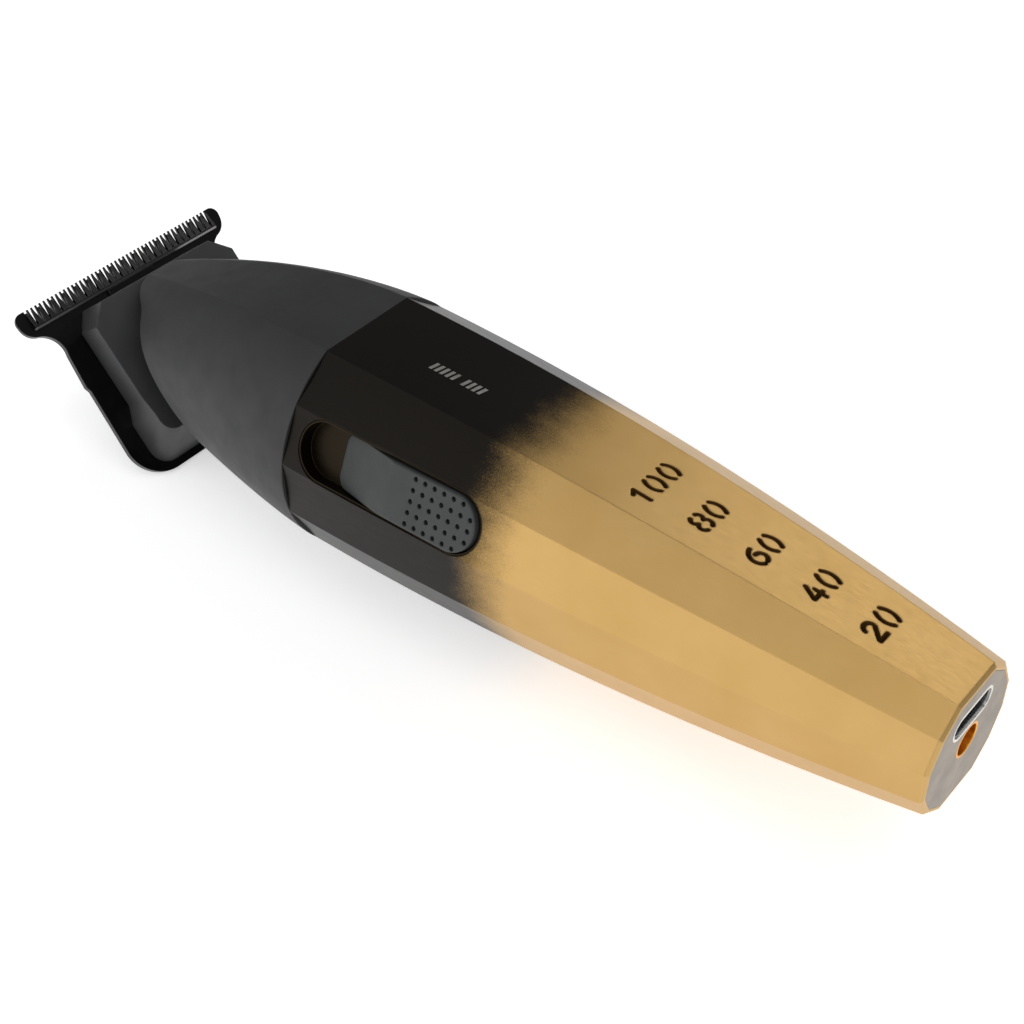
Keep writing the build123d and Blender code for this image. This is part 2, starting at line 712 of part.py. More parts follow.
with BuildPart() as motor_shaft:
    shaft_start = MOTOR_START_X - BELL_LENGTH - 0.6
    with BuildSketch(Plane.YZ.offset(shaft_start)):
        Circle(SHAFT_R)
    extrude(amount=PIN_START_X - ECCENTRIC_WEB - shaft_start)
finish(motor_shaft, "motor_shaft")

with BuildPart() as motor_rotor:
    with BuildSketch(Plane.YZ.offset(MOTOR_START_X + 4)):
        Circle(ROTOR_R)
        Circle(SHAFT_R, mode=Mode.SUBTRACT)
        with PolarLocations(ROTOR_R, 3):
            Rectangle(4.0, 1.6, mode=Mode.SUBTRACT)
    extrude(amount=ROTOR_LENGTH)
finish(motor_rotor, "motor_rotor")

with BuildPart() as eccentric:
    with BuildSketch(Plane.YZ.offset(ECCENTRIC_X)):
        Circle(ECCENTRIC_R)
        Circle(SHAFT_R, mode=Mode.SUBTRACT)
    extrude(amount=PIN_START_X - ECCENTRIC_WEB - ECCENTRIC_X)
    with BuildSketch(Plane.YZ.offset(PIN_START_X - ECCENTRIC_WEB)):
        Circle(ECCENTRIC_R)
    extrude(amount=ECCENTRIC_WEB)
    with BuildSketch(Plane.YZ.offset(PIN_START_X)):
        with Locations((0, ECCENTRICITY)):
            Circle(PIN_R)
    extrude(amount=PIN_LENGTH)
finish(eccentric, "eccentric")

with BuildPart() as motor_bracket:
    add(shroud_solid(WALL + FIT, BRACKET_X, BRACKET_X + BRACKET_THICKNESS))
    with BuildSketch(Plane.YZ.offset(BRACKET_X)):
        Circle(BOSS_R + 0.2)
    extrude(amount=BRACKET_THICKNESS, mode=Mode.SUBTRACT)
    with BuildSketch(Plane.YZ.offset(BRACKET_X)):
        with GridLocations(SCREW_SPACING, 0, 2, 1):
            Circle(SCREW_R)
    extrude(amount=BRACKET_THICKNESS, mode=Mode.SUBTRACT)
finish(motor_bracket, "motor_bracket")

bracket_front = BRACKET_X + BRACKET_THICKNESS
with BuildPart() as motor_screws:
    with BuildSketch(Plane.YZ.offset(bracket_front)):
        with GridLocations(SCREW_SPACING, 0, 2, 1):
            Circle(SCREW_HEAD_R)
    extrude(amount=SCREW_HEAD_HEIGHT)
    with BuildSketch(Plane.YZ.offset(bracket_front)):
        with GridLocations(SCREW_SPACING, 0, 2, 1):
            Circle(SCREW_R)
    extrude(amount=-3.0)
    with BuildSketch(Plane.YZ.offset(bracket_front + SCREW_HEAD_HEIGHT)):
        with GridLocations(SCREW_SPACING, 0, 2, 1):
            Rectangle(2.2, 0.4)
            Rectangle(0.4, 2.2)
    extrude(amount=-0.5, mode=Mode.SUBTRACT)
finish(motor_screws, "motor_screws")


# ---- blade set -----------------------------------------------------------------------
NECK_HALF = 17.6
FOOT_HALF = 17.2
LOBE_HALF = 21.6
BEVEL_LENGTH = 4.6       # the fixed blade thins towards the tips over this length
BLADE_SCREW_R = 1.05
BLADE_SCREW_HEAD_R = 2.0
BLADE_SCREW_HEAD = 0.7   # depth of the head and of its countersink
BLADE_SCREW_REACH = 4.0  # into the seat
blade_screw_places = [(24.0, -8.0), (24.0, 8.0)]


def tooth_gaps(root, mouth, base, depth, pitch, count):
    """Slots between teeth, open at the tips: one tapered slot at each tooth pitch."""
    with GridLocations(0, pitch, 1, count):
        Polygon(
            (root, -base / 2),
            (root, base / 2),
            (root - depth, mouth / 2),
            (root - depth, -mouth / 2),
            align=None,
            mode=Mode.SUBTRACT,
        )


with BuildPart() as fixed_blade:
    with BuildSketch(blade_plane):
        with BuildLine():
            tips = Line((0, 0), (0, LOBE_HALF - 1.3))
            lobe = ThreePointArc(tips @ 1, (0.45, LOBE_HALF - 0.35), (1.9, LOBE_HALF))
            shoulder = ThreePointArc(lobe @ 1, (3.6, LOBE_HALF - 0.6), (4.7, LOBE_HALF - 2.2))
            neck = ThreePointArc(shoulder @ 1, (6.2, 17.4), (9.6, 16.9))
            swell = Line(neck @ 1, (15.5, NECK_HALF - 0.2))
            step = Line(swell @ 1, (16.4, FOOT_HALF - 0.1))
            foot = Line(step @ 1, (28.5, NECK_HALF))
            corner = ThreePointArc(foot @ 1, (32.9, 15.5), (PLATE_LENGTH, 11.3))
            rear = Line(corner @ 1, (PLATE_LENGTH, 0))
            Line(rear @ 1, tips @ 0)
        make_face()
        mirror(about=Plane.XZ)
        tooth_gaps(2.9, 0.56, 0.3, 3.0, TOOTH_PITCH, TOOTH_GAPS)
    extrude(amount=-PLATE_THICKNESS)
    with BuildSketch(Plane.XZ):
        Polygon(
            over_blade(0, -TIP_THICKNESS),
            over_blade(BEVEL_LENGTH, -PLATE_THICKNESS),
            over_blade(BEVEL_LENGTH, -3),
            over_blade(0, -3),
            align=None,
        )
    extrude(amount=30, both=True, mode=Mode.SUBTRACT)
    with BuildSketch(blade_plane):
        with Locations(*blade_screw_places):
            Circle(BLADE_SCREW_R + FIT)
    extrude(amount=-PLATE_THICKNESS, mode=Mode.SUBTRACT)
    with BuildSketch(blade_plane.offset(-PLATE_THICKNESS)):
        with Locations(*blade_screw_places):
            Circle(BLADE_SCREW_HEAD_R + 0.1)
    extrude(amount=BLADE_SCREW_HEAD, mode=Mode.SUBTRACT)
finish(fixed_blade, "fixed_blade")

CUTTER_TIP = 0.45
CUTTER_HEEL = 3.6
CUTTER_HALF = 19.4
TONGUE_END = 13.0
TONGUE_HALF = 4.8
cutter_top = CUTTER_GAP + CUTTER_THICKNESS
tongue_top = CUTTER_GAP + TONGUE_THICKNESS
with BuildPart() as moving_blade:
    with BuildSketch(blade_plane.offset(CUTTER_GAP)):
        with Locations(((CUTTER_TIP + CUTTER_HEEL) / 2, 0)):
            Rectangle(CUTTER_HEEL - CUTTER_TIP, 2 * CUTTER_HALF)
        tooth_gaps(3.0, 0.95, 0.3, 2.7, CUTTER_PITCH, CUTTER_GAPS)
    extrude(amount=CUTTER_THICKNESS)
    with BuildSketch(Plane.XZ):
        Polygon(
            over_blade(CUTTER_TIP, CUTTER_GAP + TIP_THICKNESS),
            over_blade(CUTTER_HEEL - 0.5, cutter_top),
            over_blade(CUTTER_HEEL - 0.3, cutter_top),
            over_blade(CUTTER_HEEL, cutter_top - 0.3),
            over_blade(CUTTER_HEEL, 3),
            over_blade(CUTTER_TIP, 3),
            align=None,
        )
    extrude(amount=30, both=True, mode=Mode.SUBTRACT)
    with BuildSketch(blade_plane.offset(CUTTER_GAP)):
        with Locations(((CUTTER_HEEL + TONGUE_END - 0.4) / 2, 0)):
            Rectangle(TONGUE_END - CUTTER_HEEL + 0.4, 2 * TONGUE_HALF)
    extrude(amount=TONGUE_THICKNESS)
finish(moving_blade, "moving_blade")

YOKE_BASE_X = 9.6
YOKE_BASE_HEIGHT = 2.4
FORK_SLOT_HALF = 3.5
FORK_HALF = 4.7
FORK_START = 123.1
FORK_END = 126.5
ARM_BOTTOM = -3.9
ARM_HALF = 1.6
with BuildPart() as cutter_yoke:
    with BuildSketch(blade_plane.offset(tongue_top)):
        with Locations((YOKE_BASE_X, 0)):
            Rectangle(5.8, 8.4)
    extrude(amount=YOKE_BASE_HEIGHT)
    with BuildSketch(Plane.XZ):
        with BuildLine():
            Polyline(
                (FORK_START, ARM_BOTTOM),
                (150.5, ARM_BOTTOM),
                (152.3, -2.2),
                (151.0, -0.4),
                (147.0, -1.4),
                (FORK_START, ARM_BOTTOM + 1.2),
                close=True,
            )
        make_face()
    extrude(amount=ARM_HALF, both=True)
    with BuildSketch(Plane.YZ.offset(FORK_START)):
        with Locations((0, 0.1)):
            Rectangle(2 * FORK_HALF, 8.0)
        with Locations((0, 1.3)):
            Rectangle(2 * FORK_SLOT_HALF, 8.0, mode=Mode.SUBTRACT)
    extrude(amount=FORK_END - FORK_START)
finish(cutter_yoke, "cutter_yoke")

with BuildPart() as blade_screws:
    with BuildSketch(blade_plane.offset(-PLATE_THICKNESS)):
        with Locations(*blade_screw_places):
            Circle(BLADE_SCREW_HEAD_R)
    extrude(amount=BLADE_SCREW_HEAD)
    with BuildSketch(blade_plane.offset(-PLATE_THICKNESS)):
        with Locations(*blade_screw_places):
            Circle(BLADE_SCREW_R)
    extrude(amount=PLATE_THICKNESS + BLADE_SCREW_REACH)
    with BuildSketch(blade_plane.offset(-PLATE_THICKNESS)):
        with Locations(*blade_screw_places):
            Rectangle(2.6, 0.5)
            Rectangle(0.5, 2.6)
    extrude(amount=0.5, mode=Mode.SUBTRACT)
finish(blade_screws, "blade_screws")


# ---- head frame: blade seat and the neck that fills the shroud's mouth ----------------
SPRING_HEIGHT = tongue_top + YOKE_BASE_HEIGHT + 0.1
SPRING_THICKNESS = 0.4
FINGER_Y = 3.7           # the fingers press either side of the yoke's arm
FINGER_WIDTH = 1.4
with BuildPart() as cutter_spring:
    with BuildSketch(blade_plane.offset(SPRING_HEIGHT)):
        with Locations((18.0, 0)):
            Rectangle(3.0, 8.8)
        with Locations((12.5, FINGER_Y), (12.5, -FINGER_Y)):
            Rectangle(8.5, FINGER_WIDTH)
    extrude(amount=SPRING_THICKNESS)
finish(cutter_spring, "cutter_spring")


def seat_face(front, rear, inner, side, flare, corner):
    """Blade seat's outline: chamfered front corners, flared foot, round rear corners."""
    with BuildSketch() as face:
        with BuildLine():
            edge = Polyline(
                (front, 0),
                (front, inner),
                (front + 3.1, side),
                (21.6, side),
                (24.8, side + flare),
                (rear - corner, side + flare),
            )
            turn = RadiusArc(edge @ 1, (rear, side + flare - corner), corner)
            Polyline(turn @ 1, (rear, 0), (front, 0))
        make_face()
        mirror(about=Plane.XZ)
    return face.sketch


seat_foot = seat_face(front=4.6, rear=33.2, inner=10.6, side=12.9, flare=1.4, corner=3.4)
seat_top = seat_face(front=5.2, rear=28.6, inner=11.4, side=14.6, flare=-0.4, corner=2.6)
NECK_START = BRACKET_X + BRACKET_THICKNESS + 1.4
NECK_INSET = 1.6         # of the neck's bare part, between the seat and the shroud's rim
NECK_WALL = 1.6
COLLAR_GAP = 0.15        # between the frame's collar and the shroud
HOLLOW_END_X = 142.0
SEAT_FLOOR = 1.2
FRONT_WALL = 1.2
WINDOW_HALF = 6.3        # half width of the room that the yoke's base swings in
WINDOW_FLOOR = 1.0       # that room's span above the blade plane
WINDOW_ROOF = 6.3
CHANNEL_HALF = 3.4       # half width of the channel that the yoke's arm swings in
CHANNEL_BACK_X = 115.0
CHANNEL_FRONT_X = 148.0
CHANNEL_BOTTOM = -5.5
CHANNEL_TOP = 0.2


def above_blade(height):
    """Half space over that height above the blade plane."""
    return blade_plane.offset(height + 40).location * Box(160, 80, 80)


neck = shroud_solid(WALL + NECK_INSET, NECK_START) & above_blade(SEAT_HEIGHT - 0.2)
collar = shroud_solid(WALL + COLLAR_GAP, NECK_START) & above_blade(RIM_HEIGHT + 0.4)
neck_core = shroud_solid(WALL + NECK_INSET + NECK_WALL, SEAM_X + 5, HOLLOW_END_X)
neck_hollow = neck_core & above_blade(SEAT_HEIGHT + SEAT_FLOOR)

with BuildPart() as head_frame:
    with BuildSketch(blade_plane):
        add(seat_foot)
    with BuildSketch(blade_plane.offset(SEAT_HEIGHT)):
        add(seat_top)
    loft()
    add(neck)
    add(collar)
    add(neck_hollow, mode=Mode.SUBTRACT)
    with BuildSketch(Plane.XZ):
        Polygon(
            over_blade(4.9 + FRONT_WALL, WINDOW_FLOOR),
            over_blade(4.9 + FRONT_WALL, WINDOW_ROOF),
            over_blade(18.7, WINDOW_ROOF),
            over_blade(14.3, WINDOW_FLOOR),
            align=None,
        )
    extrude(amount=WINDOW_HALF, both=True, mode=Mode.SUBTRACT)
    with BuildSketch(Plane.XZ):
        with Locations(((CHANNEL_BACK_X + CHANNEL_FRONT_X) / 2, (CHANNEL_BOTTOM + CHANNEL_TOP) / 2)):
            Rectangle(CHANNEL_FRONT_X - CHANNEL_BACK_X, CHANNEL_TOP - CHANNEL_BOTTOM)
    extrude(amount=CHANNEL_HALF, both=True, mode=Mode.SUBTRACT)
    with BuildSketch(blade_plane):
        with Locations((9.5, 0)):
            Rectangle(11.6, 2 * (TONGUE_HALF + CUTTER_STROKE + 0.4))
    extrude(amount=cutter_top + 0.3, mode=Mode.SUBTRACT)
    with BuildSketch(blade_plane):
        with Locations(*blade_screw_places):
            Circle(BLADE_SCREW_R)
    extrude(amount=BLADE_SCREW_REACH, mode=Mode.SUBTRACT)
    add(cutter_spring.part, mode=Mode.SUBTRACT)
finish(head_frame, "head_frame")


# ---- wiring --------------------------------------------------------------------------
WIRE_R = 0.55


def wire(points, bend):
    with BuildPart() as lead:
        with BuildLine():
            route = FilletPolyline(*points, radius=bend)
        with BuildSketch(Plane(origin=route @ 0, z_dir=route % 0)):
            Circle(WIRE_R)
        sweep()
    return lead.part


cell_front = CELL_START_X + CELL_LENGTH + TAB_THICKNESS
battery_wire = wire(
    [(cell_front, 1.5, 3.0), (cell_front + 4, 1.5, 3.0), (cell_front + 4, 1.5, BOARD_Z)], 1.8
)
with BuildPart() as battery_lead:
    add(battery_wire)
finish(battery_lead, "battery_lead")

terminal_x = MOTOR_START_X - BELL_LENGTH - 1.1
motor_wires = [
    wire(
        [
            (terminal_x, side * 5.5, 1.1),
            (terminal_x, side * 5.5, 3.0),
            (terminal_x - 1.0, side * 4.5, 7.0),
            (terminal_x - 1.0, side * 4.5, BOARD_Z),
        ],
        1.2,
    )
    for side in (-1, 1)
]
with BuildPart() as motor_leads:
    for lead_wire in motor_wires:
        add(lead_wire)
finish(motor_leads, "motor_leads")
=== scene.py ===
import bmesh
import bpy
import json
import math
from mathutils import Matrix, Vector


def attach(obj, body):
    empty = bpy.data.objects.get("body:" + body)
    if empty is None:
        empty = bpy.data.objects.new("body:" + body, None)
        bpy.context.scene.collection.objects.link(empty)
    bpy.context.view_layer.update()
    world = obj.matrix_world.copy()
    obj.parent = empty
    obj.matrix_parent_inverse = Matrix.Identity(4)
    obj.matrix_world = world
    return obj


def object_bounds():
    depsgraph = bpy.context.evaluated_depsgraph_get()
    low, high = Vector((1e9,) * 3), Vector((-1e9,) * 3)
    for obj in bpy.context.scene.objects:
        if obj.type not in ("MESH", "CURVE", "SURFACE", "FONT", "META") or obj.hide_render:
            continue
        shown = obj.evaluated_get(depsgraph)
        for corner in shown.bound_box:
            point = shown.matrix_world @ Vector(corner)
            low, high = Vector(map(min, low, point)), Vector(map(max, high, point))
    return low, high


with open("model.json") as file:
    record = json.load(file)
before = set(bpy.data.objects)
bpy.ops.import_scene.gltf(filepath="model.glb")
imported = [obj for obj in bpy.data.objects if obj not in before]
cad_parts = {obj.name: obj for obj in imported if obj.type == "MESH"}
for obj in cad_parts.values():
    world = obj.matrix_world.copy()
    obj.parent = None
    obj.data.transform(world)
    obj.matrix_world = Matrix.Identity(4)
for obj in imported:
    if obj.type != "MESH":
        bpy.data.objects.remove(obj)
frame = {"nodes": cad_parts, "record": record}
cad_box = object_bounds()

nodes = frame["nodes"]
record = frame["record"]

MM = 0.001
FLOOR_Z = cad_box[0][2]

# ---- camera --------------------------------------------------------------------------
CAMERA_PLACE = Vector((-0.04454, 0.13033, 0.15441))
CAMERA_RIGHT = Vector((-0.76105, -0.64797, -0.03067))
CAMERA_UP = Vector((0.41680, -0.52468, 0.74228))
CAMERA_BACK = Vector((-0.49707, 0.55213, 0.66938))
camera_data = bpy.data.cameras.new("camera")
camera_data.sensor_width = 36
camera_data.lens = 57.14
camera_data.clip_start = 0.01
camera = bpy.data.objects.new("camera", camera_data)
turn = Matrix((CAMERA_RIGHT, CAMERA_UP, CAMERA_BACK)).transposed()
camera.matrix_world = Matrix.Translation(CAMERA_PLACE) @ turn.to_4x4()
bpy.context.scene.collection.objects.link(camera)
bpy.context.scene.camera = camera


# ---- node helpers --------------------------------------------------------------------
class Paint:
    """A Principled material, built up node by node. Positions are the part's own, in metres."""

    def __init__(self, name):
        self.material = bpy.data.materials.new(name)
        self.material.use_nodes = True
        self.tree = self.material.node_tree
        self.shader = self.tree.nodes["Principled BSDF"]
        self.place = self.tree.nodes.new("ShaderNodeTexCoord").outputs["Object"]
        self.geometry = self.tree.nodes.new("ShaderNodeNewGeometry")
        self.bumped = None

    def node(self, kind, **inputs):
        node = self.tree.nodes.new(kind)
        for name, value in inputs.items():
            self.feed(node.inputs[name.replace("_", " ")], value)
        return node

    def feed(self, socket, value):
        if isinstance(value, bpy.types.NodeSocket):
            self.tree.links.new(value, socket)
        else:
            socket.default_value = value

    def stretched(self, factors):
        node = self.node("ShaderNodeVectorMath")
        node.operation = "MULTIPLY"
        self.feed(node.inputs[0], self.place)
        node.inputs[1].default_value = factors
        return node.outputs[0]

    def noise(self, scale, detail=2.0, roughness=0.5, stretch=None):
        where = self.stretched(stretch) if stretch else self.place
        node = self.node("ShaderNodeTexNoise", Vector=where, Scale=scale, Detail=detail)
        node.inputs["Roughness"].default_value = roughness
        return node.outputs["Fac"]

    def math(self, operation, *values):
        node = self.tree.nodes.new("ShaderNodeMath")
        node.operation = operation
        for socket, value in zip(node.inputs, values):
            self.feed(socket, value)
        return node.outputs[0]

    def span(self, value, low, high, start=0.0, end=1.0, smooth=False):
        node = self.node("ShaderNodeMapRange", Value=value)
        node.interpolation_type = "SMOOTHSTEP" if smooth else "LINEAR"
        node.inputs["From Min"].default_value = low
        node.inputs["From Max"].default_value = high
        node.inputs["To Min"].default_value = start
        node.inputs["To Max"].default_value = end
        return node.outputs[0]

    def mix(self, share, first, second):
        node = self.tree.nodes.new("ShaderNodeMix")
        node.data_type = "RGBA"
        self.feed(node.inputs["Factor"], share)
        self.feed(node.inputs["A"], (*first, 1) if isinstance(first, tuple) else first)
        self.feed(node.inputs["B"], (*second, 1) if isinstance(second, tuple) else second)
        return node.outputs["Result"]

    def axis(self, letter):
        node = self.node("ShaderNodeSeparateXYZ", Vector=self.place)
        return node.outputs[letter]

    def along(self, direction, start):
        """Distance from start in that direction."""
        offset = self.tree.nodes.new("ShaderNodeVectorMath")
        offset.operation = "SUBTRACT"
        self.feed(offset.inputs[0], self.place)
        offset.inputs[1].default_value = start
        node = self.tree.nodes.new("ShaderNodeVectorMath")
        node.operation = "DOT_PRODUCT"
        self.feed(node.inputs[0], offset.outputs[0])
        node.inputs[1].default_value = direction
        return node.outputs["Value"]

    def edges(self, radius):
        """Near 1 along the piece's edges and 0 on its faces."""
        bevel = self.node("ShaderNodeBevel", Radius=radius)
        bevel.samples = 6
        node = self.tree.nodes.new("ShaderNodeVectorMath")
        node.operation = "DOT_PRODUCT"
        self.feed(node.inputs[0], bevel.outputs[0])
        self.feed(node.inputs[1], self.geometry.outputs["True Normal"])
        return self.span(node.outputs["Value"], 0.995, 0.85)

    def rounded(self, radius):
        """Rounds the edges in the shading."""
        bevel = self.node("ShaderNodeBevel", Radius=radius)
        bevel.samples = 6
        self.bumped = bevel.outputs[0]

    def bump(self, height, distance, strength=1.0):
        node = self.node("ShaderNodeBump", Height=height, Distance=distance, Strength=strength)
        if self.bumped is not None:
            self.feed(node.inputs["Normal"], self.bumped)
        self.bumped = node.outputs[0]

    def finish(self, colour, roughness, **sockets):
        self.feed(self.shader.inputs["Base Color"], colour)
        self.feed(self.shader.inputs["Roughness"], roughness)
        if self.bumped is not None:
            self.feed(self.shader.inputs["Normal"], self.bumped)
        for name, value in sockets.items():
            self.shader.inputs[name.replace("_", " ")].default_value = value
        return self.material


def linear(red, green, blue):
    """A colour given as sRGB 0 to 255, as Blender's linear values."""
    return tuple(
        c / 255 / 12.92 if c <= 10 else ((c / 255 + 0.055) / 1.055) ** 2.4
        for c in (red, green, blue)
    )


def scaled(colour, factor):
    return tuple(c * factor for c in colour)


def drifting(paint, colour, shift, scale=260.0):
    """Colour with a slow, faint drift from place to place."""
    share = paint.span(paint.noise(scale, 3.0), 0.35, 0.65)
    return paint.mix(share, scaled(colour, 1 - shift), scaled(colour, 1 + shift))


def worn_edges(paint, radius, scale, low, high):
    """Share of an edge's wear at each point, broken up by noise."""
    return paint.math("MULTIPLY", paint.edges(radius), paint.span(paint.noise(scale, 3.0), low, high))


def plastic(name, colour, roughness=0.5, grain=2600.0, depth=0.00002, gloss=0.5):
    """Moulded plastic: fine grain, slow drift of tone, lighter worn edges."""
    paint = Paint(name)
    paint.rounded(0.00025)
    paint.bump(paint.noise(grain, 2.0), depth)
    tone = drifting(paint, colour, 0.12)
    worn = worn_edges(paint, 0.0003, 900.0, 0.45, 0.7)
    tone = paint.mix(paint.math("MULTIPLY", worn, 0.35), tone, scaled(colour, 2.2))
    rough = paint.span(paint.noise(700.0, 3.0), 0.3, 0.7, roughness - 0.06, roughness + 0.06)
    return paint.finish(tone, rough, Specular_IOR_Level=gloss)


def metal(name, colour, roughness=0.3, stretch=(0.06, 1.0, 1.0), depth=0.000006):
    """Brushed metal: streaks along the piece, and brighter edges."""
    paint = Paint(name)
    paint.rounded(0.0002)
    streaks = paint.noise(5200.0, 3.0, 0.6, stretch)
    paint.bump(streaks, depth)
    tone = paint.mix(paint.span(streaks, 0.3, 0.7), scaled(colour, 0.86), scaled(colour, 1.1))
    tone = paint.mix(paint.math("MULTIPLY", paint.edges(0.0003), 0.5), tone, scaled(colour, 1.35))
    rough = paint.span(streaks, 0.3, 0.7, roughness - 0.07, roughness + 0.09)
    return paint.finish(tone, rough, Metallic=1.0)


# ---- barrel: satin metal that fades from gold at the tail to black at the seam --------
GOLD = (0.63, 0.405, 0.155)
GOLD_DEEP = (0.55, 0.34, 0.11)
BLACK_COAT = (0.012, 0.0095, 0.007)
FADE_START = 57.5 * MM
FADE_END = 68.5 * MM
FADE_SCATTER = 5 * MM


def barrel_paint():
    paint = Paint("barrel_fade")
    paint.rounded(0.0003)
    streaks = paint.noise(3800.0, 3.0, 0.6, (0.05, 1.0, 1.0))
    sand = paint.noise(5200.0, 2.0)
    drift = paint.noise(110.0, 3.0)
    paint.bump(streaks, 0.000006, 0.5)
    paint.bump(sand, 0.000006, 0.6)
    cloud = paint.noise(260.0, 4.0, 0.6, (0.6, 1.0, 1.0))
    ragged = paint.math("MULTIPLY", paint.math("SUBTRACT", cloud, 0.5), FADE_SCATTER)
    spray = paint.math("MULTIPLY", paint.math("SUBTRACT", sand, 0.5), FADE_SCATTER)
    along = paint.math("ADD", paint.math("ADD", paint.axis("X"), ragged), spray)
    black = paint.span(along, FADE_START, FADE_END, smooth=True)
    gold = paint.mix(paint.span(drift, 0.1, 0.8), GOLD_DEEP, GOLD)
    gold = paint.mix(paint.span(streaks, 0.3, 0.7, 0.6, 1.0), GOLD_DEEP, gold)
    tone = paint.mix(black, gold, BLACK_COAT)
    worn = worn_edges(paint, 0.0003, 600.0, 0.35, 0.65)
    bright = paint.mix(black, scaled(GOLD, 1.25), scaled(BLACK_COAT, 3.0))
    tone = paint.mix(paint.math("MULTIPLY", worn, 0.35), tone, bright)
    rough = paint.span(streaks, 0.3, 0.7, 0.38, 0.48)
    return paint.finish(tone, rough, Metallic=0.97, Coat_Weight=0.14, Coat_Roughness=0.3)


# the line through the tooth tips, and the direction back from it along the blade
BLADE_TILT = math.radians(50)
BLADE_TIPS = (159.9 * MM, 0, 4.8 * MM)
BLADE_BACK = (-math.cos(BLADE_TILT), 0, -math.sin(BLADE_TILT))


def glossy_blade(name, colour, heel_highlight=None):
    """Black coated steel: ground along the blade's width, with bare edges.

    The last argument gives the middle and half width of a painted highlight, as distances back from
    the tips: a bright line across the heel, standing in for the light its chamfer catches.
    """
    paint = Paint(name)
    paint.rounded(0.00012)
    streaks = paint.noise(6000.0, 2.0, 0.6, (1.0, 0.05, 1.0))
    paint.bump(streaks, 0.000004)
    tone = drifting(paint, colour, 0.2, 500.0)
    patches = paint.span(paint.noise(1500.0, 3.0), 0.3, 0.7, 0.05, 0.5)
    bare = paint.math("MULTIPLY", paint.edges(0.0002), patches)
    tone = paint.mix(bare, tone, linear(104, 102, 100))
    if heel_highlight:
        # painted highlight: a brighter line along the heel, in place of the light caught by its
        # chamfer
        line = paint.math("COMPARE", paint.along(BLADE_BACK, BLADE_TIPS), *heel_highlight)
        tone = paint.mix(paint.math("MULTIPLY", line, 0.75), tone, linear(150, 148, 146))
    rough = paint.span(streaks, 0.3, 0.7, 0.14, 0.26)
    return paint.finish(tone, rough, Metallic=0.6, Specular_IOR_Level=0.6)


def grained(name, colour, roughness):
    """Matte soft-feel plastic with a fine sanded grain."""
    paint = Paint(name)
    paint.rounded(0.0003)
    paint.bump(paint.noise(4200.0, 3.0, 0.6), 0.00002, 0.7)
    tone = drifting(paint, colour, 0.08, 120.0)
    dust = paint.span(paint.noise(3000.0, 2.0), 0.62, 0.75)
    tone = paint.mix(paint.math("MULTIPLY", dust, 0.10), tone, scaled(colour, 2.4))
    worn = worn_edges(paint, 0.0003, 700.0, 0.4, 0.7)
    tone = paint.mix(paint.math("MULTIPLY", worn, 0.3), tone, scaled(colour, 2.5))
    rough = paint.span(paint.noise(260.0, 4.0), 0.3, 0.7, roughness - 0.05, roughness + 0.06)
    return paint.finish(tone, rough, Specular_IOR_Level=0.45)


paints = {
    "housing_gold": barrel_paint(),
    "cap_beige": plastic("cap_satin", linear(160, 148, 134), 0.5, 3200.0, 0.000012),
    "gold_insert": metal("gold_insert", linear(232, 164, 52), 0.34, (0.3, 1.0, 1.0)),
    "steel": metal("steel", linear(150, 150, 152), 0.3),
    "socket_chrome": metal("socket_rim", linear(216, 212, 204), 0.24, (1.0, 1.0, 1.0)),
    "black_plastic": plastic("black_plastic", linear(34, 33, 32), 0.55),
    "shroud_grey": grained("shroud_grey", linear(46, 46, 46), 0.58),
    "switch_grey": grained("switch_grey", linear(56, 58, 58), 0.52),
    "black_well": metal("well_black", linear(44, 38, 29), 0.42),
    "blade_black": glossy_blade("blade_black", linear(18, 18, 18)),
    "board_green": plastic("solder_mask", linear(22, 84, 50), 0.3, 1200.0),
    "chip_black": plastic("chip_black", linear(26, 26, 28), 0.5),
    "smoked_guide": plastic("smoked_guide", linear(30, 20, 10), 0.35, 900.0),
    "led_white": plastic("led_white", linear(236, 232, 220), 0.3, 1200.0),
    "cell_wrap": plastic("cell_wrap", linear(30, 92, 150), 0.32, 500.0),
    "nickel": metal("nickel", linear(196, 190, 178), 0.3),
    "frame_grey": grained("frame_grey", linear(54, 54, 55), 0.45),
    "copper": metal("copper", linear(196, 116, 70), 0.35, (0.1, 1.0, 1.0)),
    "wire_red": plastic("wire_red", linear(160, 24, 22), 0.4, 900.0),
    "white_plastic": plastic("white_plastic", linear(214, 210, 200), 0.45),
}
slots = {piece["node"]: piece["material_slot"] for piece in record["subparts"]}
own_paints = {
    # the moving blade gets a painted highlight line along its heel
    "moving_blade": glossy_blade("cutter_black", linear(15, 15, 15), heel_highlight=(3.45 * MM, 0.2 * MM)),
}
for name, piece in nodes.items():
    piece.data.materials.clear()
    piece.data.materials.append(own_paints.get(name, paints[slots[name]]))


# ---- generic mark on the black part of the top facet ----------------------------------
BELLY_HALF_HEIGHT = 18.2
TAIL_HALF_HEIGHT = 9.8
BELLY_X = 99.0


def half_height(x):
    """Of the barrel in millimetres, at x from the tail."""
    return BELLY_HALF_HEIGHT - (BELLY_HALF_HEIGHT - TAIL_HALF_HEIGHT) * (1 - x / BELLY_X) ** 2


def ink(name, colour):
    """Thin printed ink, a little uneven. Its plates are too thin for rounded edges."""
    paint = Paint(name)
    paint.bump(paint.noise(5200.0, 2.0), 0.000003)
    tone = drifting(paint, colour, 0.14, 2400.0)
    rough = paint.span(paint.noise(1800.0, 3.0), 0.3, 0.7, 0.4, 0.55)
    return paint.finish(tone, rough, Specular_IOR_Level=0.4)


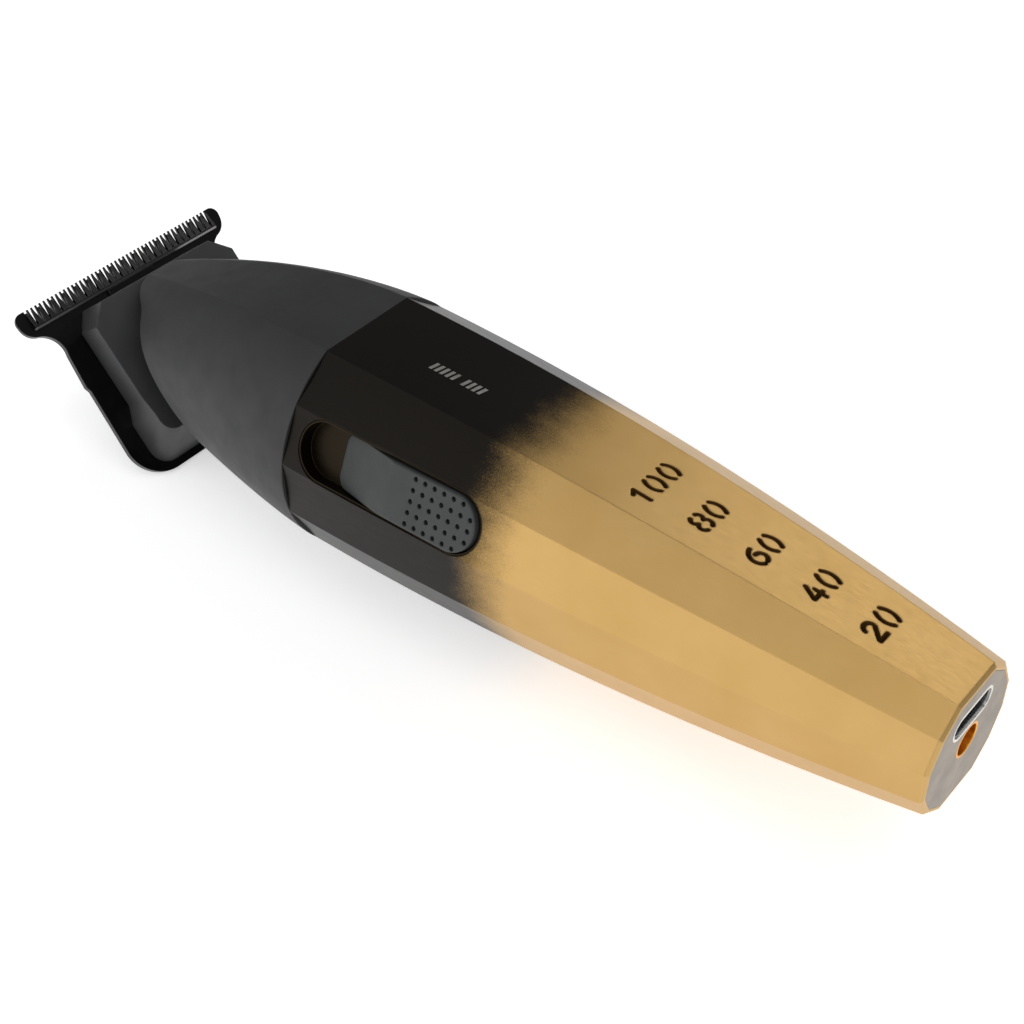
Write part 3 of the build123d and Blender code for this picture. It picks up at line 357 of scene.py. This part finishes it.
# the mark's dashes, in millimetres
DASH_START_X = 75.6
DASH_PITCH = 0.98
DASH_WIDTH = 0.58
DASH_SLANT = 0.35
DASH_LOW_Y = 0.65
DASH_HIGH_Y = 2.25
DASH_LIFT = 0.06
DASH_THICKNESS = 0.04
DASH_PLACES = (0, 1, 2, 3, 5, 6, 7, 8, 9)


def mark():
    """A row of slanted dashes printed on the facet, in place of any lettering."""
    shape = bmesh.new()
    for place in DASH_PLACES:
        left = DASH_START_X + place * DASH_PITCH
        outline = (
            (left, DASH_LOW_Y),
            (left + DASH_WIDTH, DASH_LOW_Y),
            (left + DASH_WIDTH + DASH_SLANT, DASH_HIGH_Y),
            (left + DASH_SLANT, DASH_HIGH_Y),
        )
        corners = [
            shape.verts.new((x * MM, y * MM, (half_height(x) + DASH_LIFT) * MM))
            for x, y in outline
        ]
        shape.faces.new(corners)
    bmesh.ops.solidify(shape, geom=shape.faces[:], thickness=DASH_THICKNESS * MM)
    bmesh.ops.recalc_face_normals(shape, faces=shape.faces[:])
    mesh = bpy.data.meshes.new("printed_mark")
    shape.to_mesh(mesh)
    shape.free()
    piece = bpy.data.objects.new("printed_mark", mesh)
    bpy.context.scene.collection.objects.link(piece)
    mesh.materials.append(ink("mark_ink", linear(184, 181, 176)))
    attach(piece, "handpiece")


mark()


# ---- floor and light -------------------------------------------------------------------
FLOOR_GLOW = 0.52
FLOOR_HALF_SIZE = 4.0


def floor():
    mesh = bpy.data.meshes.new("floor")
    corners = [
        (x * FLOOR_HALF_SIZE, y * FLOOR_HALF_SIZE, FLOOR_Z)
        for x, y in ((-1, -1), (1, -1), (1, 1), (-1, 1))
    ]
    mesh.from_pydata(corners, [], [(0, 1, 2, 3)])
    plate = bpy.data.objects.new("floor", mesh)
    bpy.context.scene.collection.objects.link(plate)
    paint = Paint("floor_white")
    paint.bump(paint.noise(900.0, 3.0), 0.00002)
    tone = paint.mix(paint.noise(3.0, 2.0), (0.93, 0.93, 0.93), (0.95, 0.95, 0.95))
    glow = {"Emission_Color": (1, 1, 1, 1), "Emission_Strength": FLOOR_GLOW}
    mesh.materials.append(paint.finish(tone, 0.9, **glow))


def softbox(name, place, width, height, power):
    """A rectangular light that faces the middle of the object, in metres and watts."""
    data = bpy.data.lights.new(name, "AREA")
    data.shape = "RECTANGLE"
    data.size = width
    data.size_y = height
    data.energy = power
    light = bpy.data.objects.new(name, data)
    light.location = place
    light.rotation_euler = (MIDDLE - Vector(place)).to_track_quat("-Z", "Y").to_euler()
    bpy.context.scene.collection.objects.link(light)


floor()
MIDDLE = Vector((0.08, 0, 0))
softbox("side", (0.4, 1.25, 0.62), 2.2, 1.4, 10.0)
softbox("overhead", (-0.5, 0.3, 1.2), 0.9, 0.9, 4.6)
softbox("far", (0.05, -0.85, 0.95), 0.9, 0.7, 2.9)

world = bpy.data.worlds.new("studio")
world.use_nodes = True
sky = world.node_tree.nodes["Background"]
sky.inputs["Color"].default_value = (0.97, 0.98, 1.0, 1)
sky.inputs["Strength"].default_value = 0.23
bpy.context.scene.world = world
bpy.context.scene.view_settings.view_transform = "Standard"
